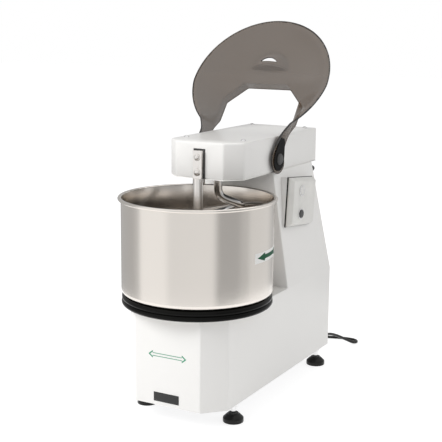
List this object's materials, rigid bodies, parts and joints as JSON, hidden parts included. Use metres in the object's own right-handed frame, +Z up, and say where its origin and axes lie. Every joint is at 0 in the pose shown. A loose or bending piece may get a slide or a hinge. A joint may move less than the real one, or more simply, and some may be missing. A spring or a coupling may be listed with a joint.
{
  "type": "spiral dough mixer",
  "caption": "Fixed-head spiral dough mixer: turning steel bowl, spiral hook, breaker bar, domed tilting bowl guard, side control panel and a base on levelling feet.",
  "frame": {"origin": "bottom centre of the machine's box without its cord, on the floor that its four feet stand on", "axes": "+X to the machine's right as seen from the front, with the control panel on that side; +Y to the rear; +Z up"},
  "size_m": [0.414, 0.9592, 1.0098],
  "materials": {
    "body_paint": "semi-gloss white enamel",
    "frame_paint": "matt grey primer",
    "cast_paint": "satin grey machine paint",
    "stainless": "brushed stainless",
    "chrome": "polished",
    "steel": "turned steel",
    "rubber": "satin black",
    "guard": "clear smoke-grey polycarbonate",
    "black_plastic": "glossy black",
    "dark_plastic": "matt",
    "white_plastic": "satin off-white",
    "grey_plastic": "matt light grey",
    "brass": "turned brass"
  },
  "bodies": {
    "base": {"body_shell": "body_paint", "rear_cover": "body_paint", "rear_cover_screws": "steel", "rear_cover_knobs": "black_plastic", "bottom_plate": "steel", "frame": "frame_paint", "head_plate": "frame_paint", "head_hood": "body_paint", "hood_screws": "chrome", "bar_bracket": "frame_paint", "breaker_bar": "stainless", "breaker_bar_bolts": "chrome", "ring_plate": "stainless", "bowl_ring": "rubber", "bowl_housing": "cast_paint", "bowl_bearings": "steel", "bowl_seal": "rubber", "base_chain": "steel", "gearbox": "cast_paint", "motor": "cast_paint", "motor_fan_cover": "dark_plastic", "terminal_box": "dark_plastic", "drive_bearing": "steel", "head_chain": "steel", "spiral_housing": "cast_paint", "spiral_bearings": "steel", "spiral_seal": "rubber", "hinge_brackets": "frame_paint", "hinge_spacers": "dark_plastic", "lid_switch": "dark_plastic", "panel_bracket": "body_paint", "panel_gasket": "rubber", "control_panel": "white_plastic", "button_bezels": "chrome", "contact_blocks": "dark_plastic", "electric_box": "grey_plastic", "foot_pads": "rubber", "foot_stems": "chrome", "badge_plate": "black_plastic", "cable_gland": "grey_plastic", "power_cord": "rubber", "cord_coil": "rubber", "plug": "rubber"},
    "bowl": {"bowl": "stainless", "bowl_disc": "stainless", "bowl_shaft": "steel", "bowl_screws": "steel", "bowl_sprocket": "steel", "bowl_nut": "steel"},
    "spiral": {"spiral": "chrome", "spiral_shaft": "steel", "spiral_sprocket": "steel"},
    "drive": {"drive_shaft": "steel", "drive_sprocket_lower": "steel", "drive_sprocket_upper": "steel"},
    "lid": {"lid": "guard", "hinge_pins": "dark_plastic", "lid_cam": "brass"},
    "start_button": {"start_button": "white_plastic"},
    "stop_button": {"stop_button": "dark_plastic"}
  },
  "joints": [
    {"name": "bowl_spin", "type": "hinge", "parent": "base", "child": "bowl", "pos_m": [0, -0.1685, 0.318], "axis": [0, 0, 1], "continuous": true},
    {"name": "spiral_spin", "type": "hinge", "parent": "base", "child": "spiral", "pos_m": [0, -0.0625, 0.62], "axis": [0, 0, 1], "continuous": true},
    {"name": "drive_spin", "type": "hinge", "parent": "base", "child": "drive", "pos_m": [0, 0.1615, 0.4], "axis": [0, 0, 1], "continuous": true},
    {"name": "lid_hinge", "type": "hinge", "parent": "base", "child": "lid", "pos_m": [0, 0.0555, 0.648], "axis": [1, 0, 0], "range_deg": [0, 128]},
    {"name": "start_press", "type": "slide", "parent": "base", "child": "start_button", "axis": [-1, 0, 0], "range_m": [0, 0.004], "stiffness_N_per_m": 400, "springref_m": -0.002},
    {"name": "stop_press", "type": "slide", "parent": "base", "child": "stop_button", "axis": [-1, 0, 0], "range_m": [0, 0.004], "stiffness_N_per_m": 400, "springref_m": -0.002}
  ],
  "couplings": [
    {"joint": "spiral_spin", "follows": "bowl_spin", "ratio": 7.5},
    {"joint": "drive_spin", "follows": "bowl_spin", "ratio": 5}
  ]
}
